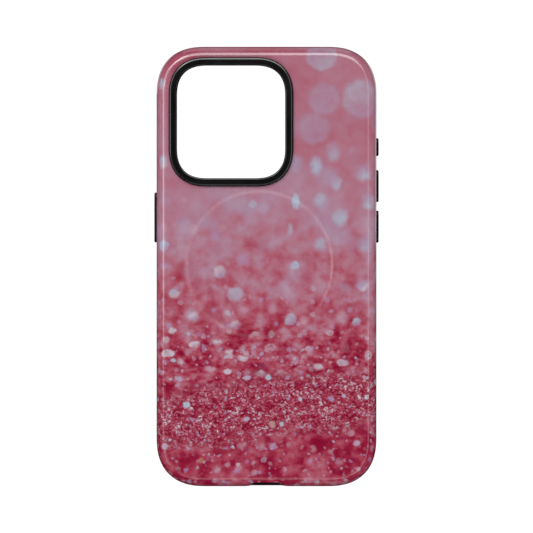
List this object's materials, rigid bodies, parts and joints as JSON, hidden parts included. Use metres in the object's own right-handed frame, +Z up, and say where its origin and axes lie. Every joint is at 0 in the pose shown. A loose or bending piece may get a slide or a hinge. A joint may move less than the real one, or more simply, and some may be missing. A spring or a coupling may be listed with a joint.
{
  "type": "phone case",
  "caption": "Two-layer phone case: glossy speckled shell over a black liner with a raised camera collar, push keys, port scoop and a hidden magnet ring.",
  "frame": {"origin": "middle of the liner's floor, where the back of the phone rests", "axes": "+Z up towards the camera window, +Y out of the open front, +X to the right seen from the printed back"},
  "size_m": [0.0778, 0.0141, 0.152],
  "materials": {
    "shell_print": "glossy printed polycarbonate, dusty pink to crimson glitter pattern",
    "liner_black": "satin black thermoplastic polyurethane",
    "key_black": "satin black",
    "magnet_nickel": "satin nickel plating",
    "carrier_film": "thin white polyester film"
  },
  "bodies": {
    "case": {"outer_shell": "shell_print", "inner_liner": "liner_black", "ring_carrier_film": "carrier_film", "ring_magnet_01": "magnet_nickel", "ring_magnet_02": "magnet_nickel", "ring_magnet_03": "magnet_nickel", "ring_magnet_04": "magnet_nickel", "ring_magnet_05": "magnet_nickel", "ring_magnet_06": "magnet_nickel", "ring_magnet_07": "magnet_nickel", "ring_magnet_08": "magnet_nickel", "ring_magnet_09": "magnet_nickel", "ring_magnet_10": "magnet_nickel", "ring_magnet_11": "magnet_nickel", "ring_magnet_12": "magnet_nickel", "ring_magnet_13": "magnet_nickel", "ring_magnet_14": "magnet_nickel", "ring_magnet_15": "magnet_nickel", "ring_magnet_16": "magnet_nickel", "ring_magnet_17": "magnet_nickel", "ring_magnet_18": "magnet_nickel"},
    "action_key": {"action_key": "key_black"},
    "volume_up_key": {"volume_up_key": "key_black"},
    "volume_down_key": {"volume_down_key": "key_black"},
    "side_key": {"side_key": "key_black"}
  },
  "joints": [
    {"name": "action_key_press", "type": "slide", "parent": "case", "child": "action_key", "axis": [-1, 0, 0], "range_m": [0, 0.0004], "stiffness_N_per_m": 800},
    {"name": "volume_up_key_press", "type": "slide", "parent": "case", "child": "volume_up_key", "axis": [-1, 0, 0], "range_m": [0, 0.0004], "stiffness_N_per_m": 800},
    {"name": "volume_down_key_press", "type": "slide", "parent": "case", "child": "volume_down_key", "axis": [-1, 0, 0], "range_m": [0, 0.0004], "stiffness_N_per_m": 800},
    {"name": "side_key_press", "type": "slide", "parent": "case", "child": "side_key", "axis": [1, 0, 0], "range_m": [0, 0.0004], "stiffness_N_per_m": 800}
  ]
}
